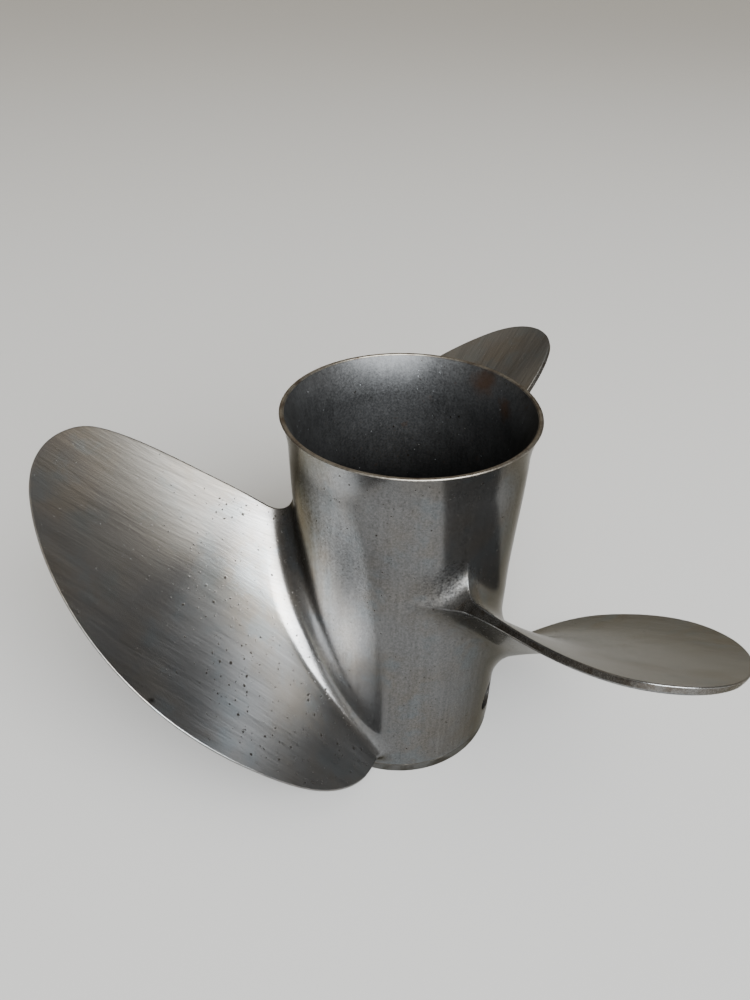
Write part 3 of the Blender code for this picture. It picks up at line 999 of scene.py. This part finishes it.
def unpolished_steel(name, steel, stain, roughness, rust_share=0.0, rust_spot=None):
    """Steel that wasn't ground: blotchy and grained, with a share of rusty specks and a rusty spot."""
    shader = Shader(name)
    place = shader.place()
    blotches = shader.noise(place, 130.0, 4.0, 0.65)
    grain = shader.noise(place, 1300.0, 3.0, 0.6)
    colour = shader.mix(shader.between(blotches, 0.42, 0.66), steel, stain)
    colour = shader.scaled(colour, shader.total(1.0, shader.swing(grain, 0.9)))
    if rust_share:
        specks = shader.between(shader.noise(place, 230.0, 3.0, 0.7), 0.72 - rust_share, 0.78 - rust_share)
        colour = shader.mix(specks, colour, RUST)
    if rust_spot:
        colour = shader.mix(shader.near(place, *rust_spot), colour, RUST)
    height = shader.weighted((blotches, 5.0e-5), (grain, 1.0e-5))
    return steel_finish(shader, colour, shader.total(roughness, shader.swing(grain, 0.3)), height)


def rough_steel():
    """The inside of the barrel: dark, as cast and sooty, with painted shade deeper down, with bright specks
    and rust below the lip.
    """
    shader = Shader("stainless_rough")
    place = shader.place()
    grain = shader.noise(place, 900.0, 4.0, 0.7)
    clouds = shader.noise(place, 60.0, 4.0, 0.6)
    runs = shader.stretched(place, (420.0, 420.0, 60.0))
    ragged = shader.wander(place, 500.0, 0.0015)
    specks = shader.dots(ragged, 330.0, 0.25, 0.22)
    pits = shader.dots(ragged, 230.0, 0.35, 0.19)
    blotched = shader.wander(place, 160.0, 0.005)
    rust = shader.total(*(shader.near(blotched, *spot) for spot in RUST_SPOTS))
    rusty_patches = shader.between(shader.noise(place, 120.0, 3.0, 0.6), 0.66, 0.74, 0.0, 0.5)
    rust = shader.number("MAXIMUM", rust, rusty_patches)

    # Soot and painted shade: the colour darkens deeper in the barrel, where shade falls
    level = shader.vector("DOT_PRODUCT", place, (0.0, 0.0, 1.0))
    soot_and_shade = shader.between(level, *SOOT_AND_SHADE_HEIGHTS, SOOT_AND_SHADE_SHARE, 1.0)
    shade = shader.total(1.0, shader.swing(grain, 1.3), shader.swing(clouds, 0.9), shader.swing(runs, 0.5))
    shade = shader.product(shade, soot_and_shade)
    colour = shader.mix(shader.product(rust, 0.8), shader.scaled(ROUGH_STEEL, shade), RUST)
    colour = shader.mix(pits, colour, PIT_DIRT)
    colour = shader.mix(specks, colour, ROUGH_SPECK)
    height = shader.weighted((grain, 3.0e-5), (clouds, 1.2e-4), (runs, 2.0e-5), (specks, 2.0e-5))
    return steel_finish(shader, colour, shader.total(0.44, shader.swing(grain, 0.35)), height)


def moulded_plastic():
    """The drive sleeve's black glass-filled plastic, with a faint moulded grain."""
    shader = Shader("moulded_plastic_fine")
    place = shader.place()
    grain = shader.noise(place, 1400.0, 2.0)
    clouds = shader.noise(place, 120.0, 3.0)
    colour = shader.mix(clouds, MOULDED_BLACK, MOULDED_GREY)
    height = shader.weighted((grain, 1.0e-5), (clouds, 4.0e-5))
    roughness = shader.between(grain, 0.3, 0.7, 0.42, 0.58)
    return shader.finish(base_color=colour, metallic=0.0, roughness=roughness, normal=shader.bump(height))


def dull_brass():
    """The splined adapter's brass, turned and tarnished."""
    shader = Shader("brass_fine")
    place = shader.place()
    turning = shader.stretched(place, (60.0, 60.0, 2600.0))
    clouds = shader.noise(place, 110.0, 4.0, 0.6)
    colour = shader.mix(shader.between(clouds, 0.4, 0.66), BRASS, BRASS_STAIN)
    height = shader.weighted((turning, 5.0e-6), (clouds, 1.5e-5))
    roughness = shader.between(clouds, 0.35, 0.7, 0.28, 0.48)
    return shader.finish(base_color=colour, metallic=1.0, roughness=roughness, normal=shader.bump(height))


def make_casting():
    """The fine casting, with a material for each finish, in the place of the plain solid."""
    mesh = casting_mesh()
    casting = add_object("propeller_casting_fine", mesh)
    materials = {
        "polished": polished_steel(),
        "land": unpolished_steel("stainless_land", LAND_STEEL, LAND_STAIN, 0.26),
        # The groove's dark colour is painted shade of the step above it, with dirt in it
        "groove": unpolished_steel("stainless_groove", GROOVE_SHADE_AND_DIRT, BAND_STAIN, 0.55),
        "band": unpolished_steel("stainless_band", BAND_STEEL, BAND_STAIN, 0.40),
        "lip": unpolished_steel(
            "stainless_lip", LIP_STEEL, LIP_STAIN, 0.34, rust_share=0.06, rust_spot=LIP_RUST),
        "rough": rough_steel(),
    }
    for finish in FINISHES:
        mesh.materials.append(materials[finish])
    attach(casting, "root")
    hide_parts(CASTING_NODE)


def finish_hub_kit():
    """The sleeve and the adapter keep their solids and get finished materials."""
    for node, material in ((SLEEVE_NODE, moulded_plastic()), (ADAPTER_NODE, dull_brass())):
        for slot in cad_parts[node].material_slots:
            slot.material = material


# Camera, from the ellipses of the lip and the front ring and the lines of the floor
CAMERA_DISTANCE = 0.31822
CAMERA_HEIGHT = 0.36947
CAMERA_PITCH = 35.07
CAMERA_ROLL = -1.38
CAMERA_YAW = -2.85
FOCAL_SHARE = 0.7612
SENSOR = 36.0
CLIP_START = 0.01


def make_camera():
    """The photo's camera, which looks along +Y and down, turned a little about its own axis."""
    data = bpy.data.cameras.new("camera")
    data.sensor_width = SENSOR
    data.lens = FOCAL_SHARE * SENSOR
    data.clip_start = CLIP_START
    camera = add_object("camera", data)
    pitch, roll, yaw = (math.radians(angle) for angle in (CAMERA_PITCH, CAMERA_ROLL, CAMERA_YAW))
    upright = Vector((0.0, 0.0, 1.0))
    level = Vector((math.sin(yaw), math.cos(yaw), 0.0))
    right = Vector((math.cos(yaw), -math.sin(yaw), 0.0))
    forward = level * math.cos(pitch) - upright * math.sin(pitch)
    down = -level * math.sin(pitch) - upright * math.cos(pitch)
    turned_right = right * math.cos(roll) + down * math.sin(roll)
    turned_down = down * math.cos(roll) - right * math.sin(roll)
    axes = Matrix((turned_right, -turned_down, -forward)).transposed().to_4x4()
    camera.matrix_world = Matrix.Translation((0, -CAMERA_DISTANCE, CAMERA_HEIGHT)) @ axes
    bpy.context.scene.camera = camera


# Studio. Directions are azimuth and elevation in degrees
FLOOR_HALF_SIZE = 30.0
FLOOR_COLOUR = (0.335, 0.338, 0.342, 1.0)
FLOOR_ROUGHNESS = 0.9
WINDOW_DIRECTION = (-66.0, 36.0)
WINDOW_DISTANCE = 3.4
WINDOW_AIM = (0.0, 0.0, 0.1)
WINDOW_SIZE = (3.76, 2.34)
WINDOW_POWER = 484.0
WINDOW_COLOUR = (0.97, 0.99, 1.0)
DARK_ROOM = (0.12, 0.10, 0.074)

# Soft glows in the room: direction, and colours by the cosine of the angle to it, up to 1 at its middle
ROOM_GLOWS = (
    ("ceiling above the window", (-55.0, 55.0), (
        (0.66, (0.0, 0.0, 0.0)),
        (0.78, (0.29, 0.255, 0.20)),
        (0.86, (1.15, 1.03, 0.83)),
        (0.90, (1.95, 1.80, 1.52)),
        (0.95, (6.10, 5.85, 5.30)),
        (1.00, (8.20, 7.90, 7.30)))),
    ("ceiling behind", (165.0, 55.0), (
        (0.84, (0.0, 0.0, 0.0)),
        (1.00, (0.40, 0.35, 0.27)))),
    ("wall behind", (100.0, 20.0), (
        (0.87, (0.0, 0.0, 0.0)),
        (1.00, (0.60, 0.52, 0.40)))),
)


def direction(azimuth, elevation):
    azimuth, elevation = math.radians(azimuth), math.radians(elevation)
    across = math.cos(elevation)
    return Vector((across * math.cos(azimuth), across * math.sin(azimuth), math.sin(elevation)))


def make_floor():
    bm = bmesh.new()
    bmesh.ops.create_grid(bm, x_segments=1, y_segments=1, size=FLOOR_HALF_SIZE)
    mesh = bpy.data.meshes.new("studio_floor")
    bm.to_mesh(mesh)
    bm.free()
    floor = add_object("studio_floor", mesh)
    mesh.materials.append(Shader("studio_floor").finish(base_color=FLOOR_COLOUR, roughness=FLOOR_ROUGHNESS))


def make_window():
    """A soft rectangular light that faces the middle of the propeller."""
    data = bpy.data.lights.new("window", "AREA")
    data.shape = "RECTANGLE"
    data.size, data.size_y = WINDOW_SIZE
    data.energy = WINDOW_POWER
    data.color = WINDOW_COLOUR
    light = add_object("window", data)
    light.location = direction(*WINDOW_DIRECTION) * WINDOW_DISTANCE
    light.rotation_euler = (Vector(WINDOW_AIM) - light.location).to_track_quat("-Z", "Y").to_euler()
    light.visible_camera = False


def make_world():
    """A dim warm room, and the soft glows added to it."""
    world = bpy.data.worlds.new("studio")
    world.use_nodes = True
    tree = world.node_tree
    way = tree.nodes.new("ShaderNodeTexCoord").outputs["Generated"]
    light = None
    for label, middle, stops in ROOM_GLOWS:
        nearness = tree.nodes.new("ShaderNodeVectorMath")
        nearness.operation = "DOT_PRODUCT"
        nearness.inputs[1].default_value = direction(*middle)
        ramp = tree.nodes.new("ShaderNodeValToRGB")
        ramp.label = label
        for _ in stops[2:]:
            ramp.color_ramp.elements.new(0.5)
        for element, (position, colour) in zip(ramp.color_ramp.elements, stops):
            element.position = position
            element.color = (*colour, 1.0)
        total = tree.nodes.new("ShaderNodeVectorMath")
        total.inputs[1].default_value = DARK_ROOM
        tree.links.new(way, nearness.inputs[0])
        tree.links.new(nearness.outputs["Value"], ramp.inputs["Fac"])
        tree.links.new(ramp.outputs["Color"], total.inputs[0])
        if light:
            tree.links.new(light, total.inputs[1])
        light = total.outputs["Vector"]
    tree.links.new(light, tree.nodes["Background"].inputs["Color"])
    bpy.context.scene.world = world


make_camera()
make_floor()
make_world()
make_window()
make_casting()
finish_hub_kit()
